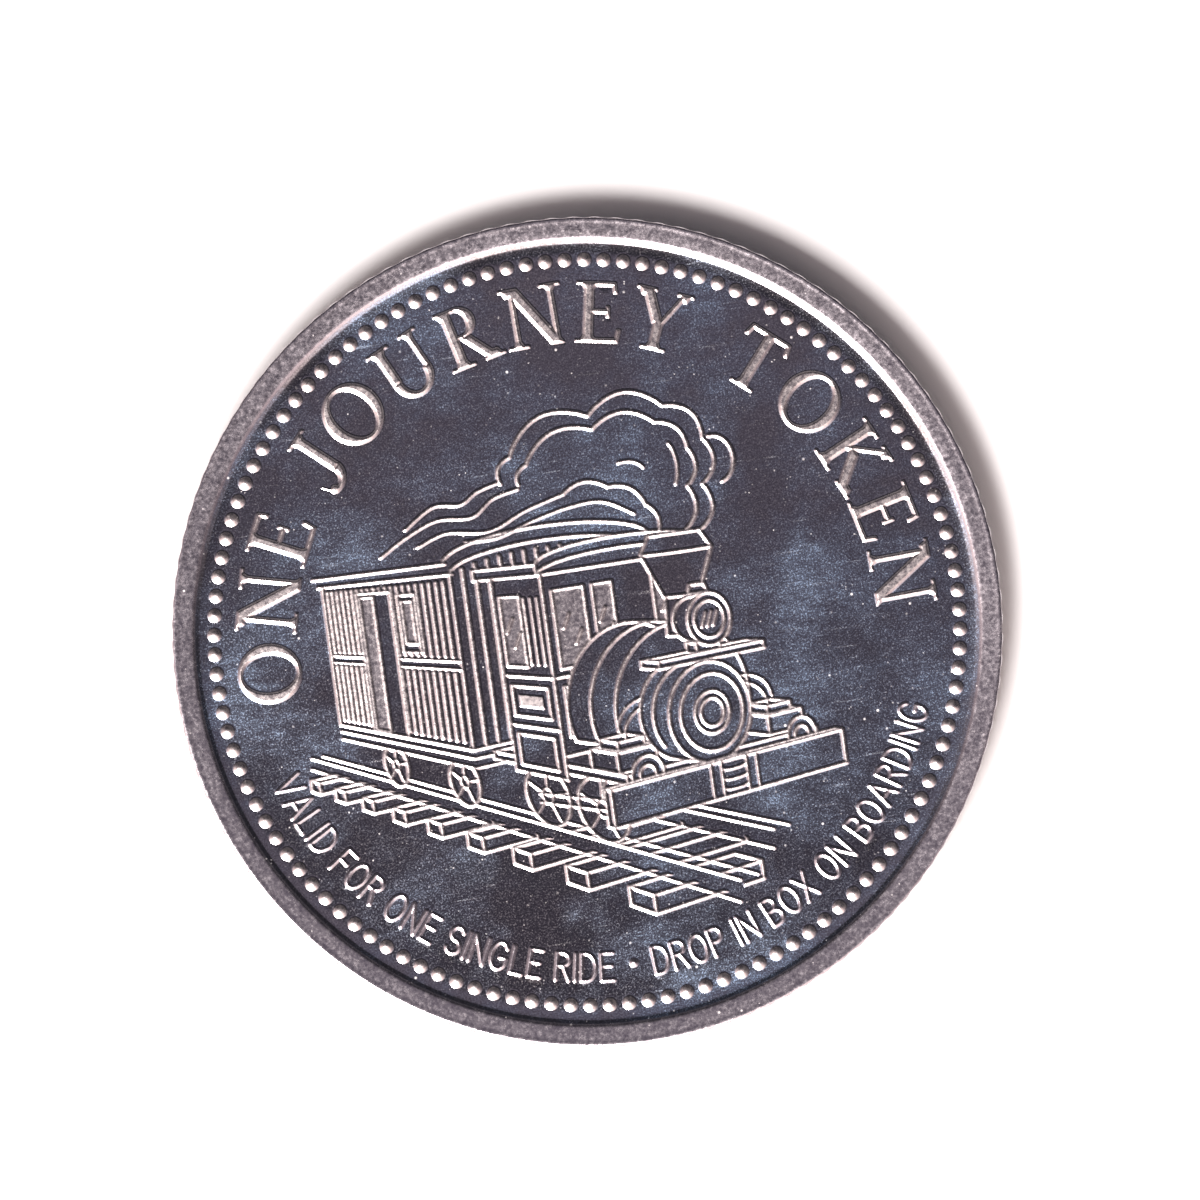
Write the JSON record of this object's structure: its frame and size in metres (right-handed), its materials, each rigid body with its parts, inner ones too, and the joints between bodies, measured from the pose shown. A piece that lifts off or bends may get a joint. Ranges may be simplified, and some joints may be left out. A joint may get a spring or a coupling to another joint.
{
  "type": "transit token",
  "caption": "Round struck metal fare token with raised rim, mirror fields, beaded border, curved legend, low train picture and a coarsely reeded edge.",
  "frame": {"origin": "centre of the token on the plane that its back rim rests on", "axes": "+Z out of the front face through the thickness; +Y to the top of the front design; +X to its right"},
  "size_m": [0.033, 0.033, 0.0023],
  "materials": {
    "struck_nickel": "mirror field with satin relief and rim"
  },
  "bodies": {
    "root": {"struck_token": "struck_nickel"}
  },
  "joints": []
}
